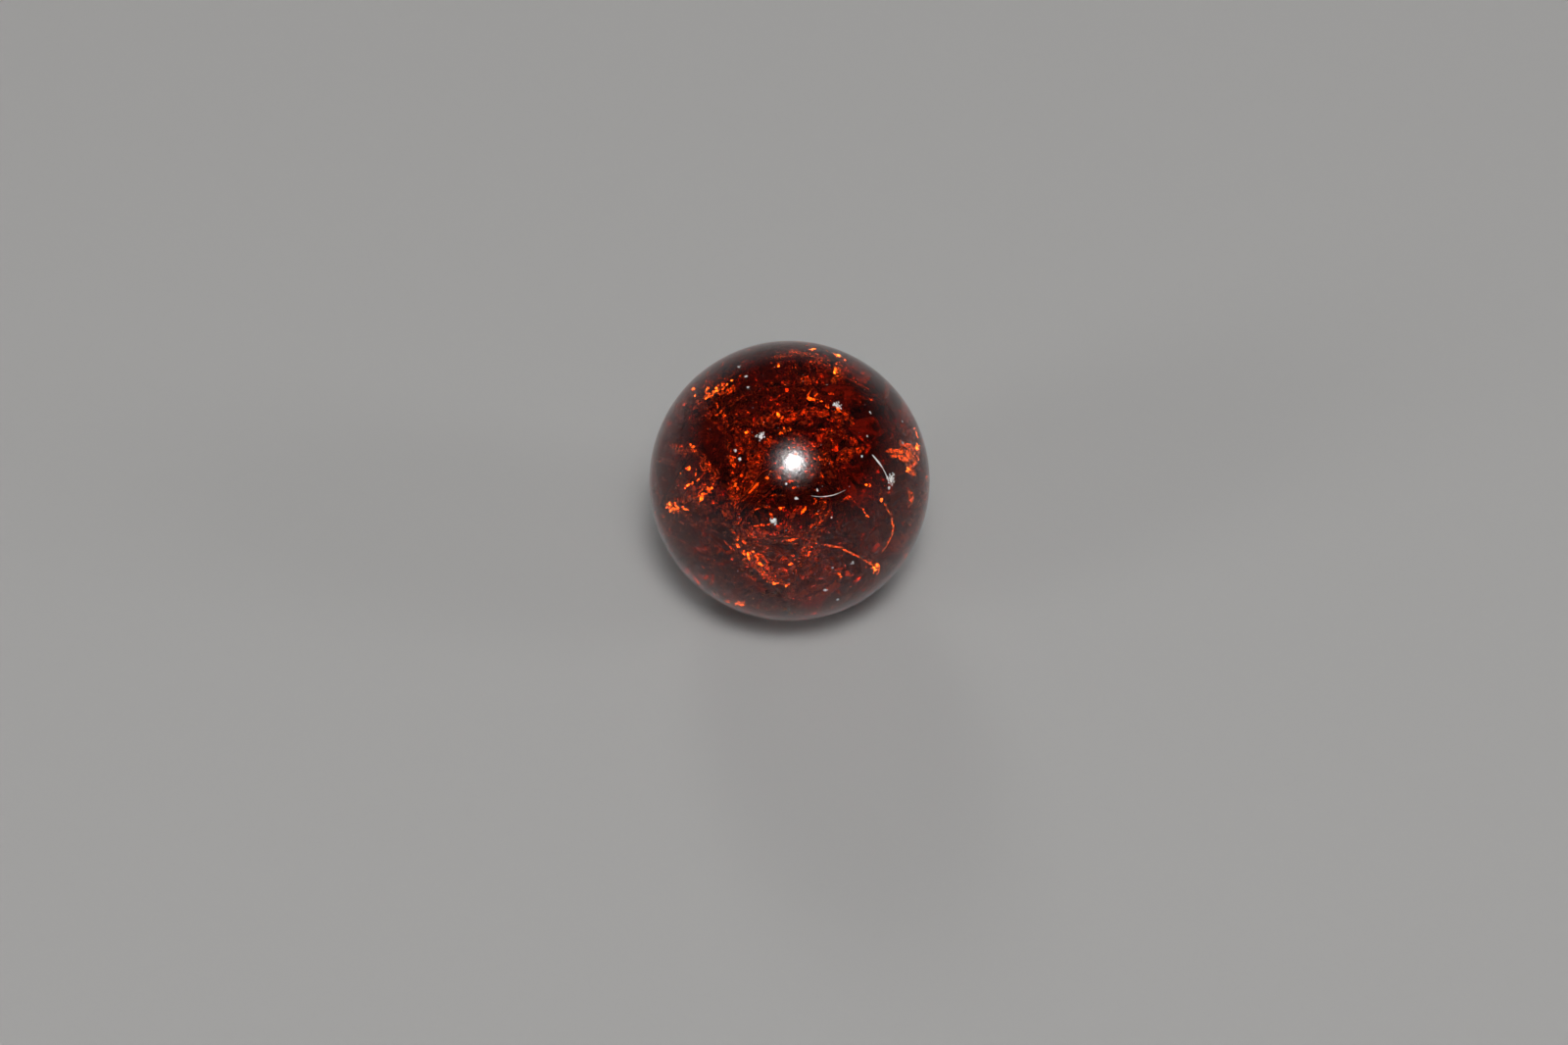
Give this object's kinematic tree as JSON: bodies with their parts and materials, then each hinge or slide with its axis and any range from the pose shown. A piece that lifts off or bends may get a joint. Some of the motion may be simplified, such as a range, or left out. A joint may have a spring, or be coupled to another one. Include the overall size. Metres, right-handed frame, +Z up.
{
  "type": "glass marble",
  "caption": "Round crackle-glass marble: one clear amber-red glass ball full of fine internal cracks under a smooth polished skin, for play, craft or display.",
  "frame": {"origin": "centre of the ball", "axes": "+Z up as the marble is shown; a ball has no front, so X and Y are any two level directions"},
  "size_m": [0.016, 0.016, 0.016],
  "materials": {
    "amber_glass": "polished skin, clear dark amber-red glass with bright crackle inside"
  },
  "bodies": {
    "root": {"marble": "amber_glass"}
  },
  "joints": []
}
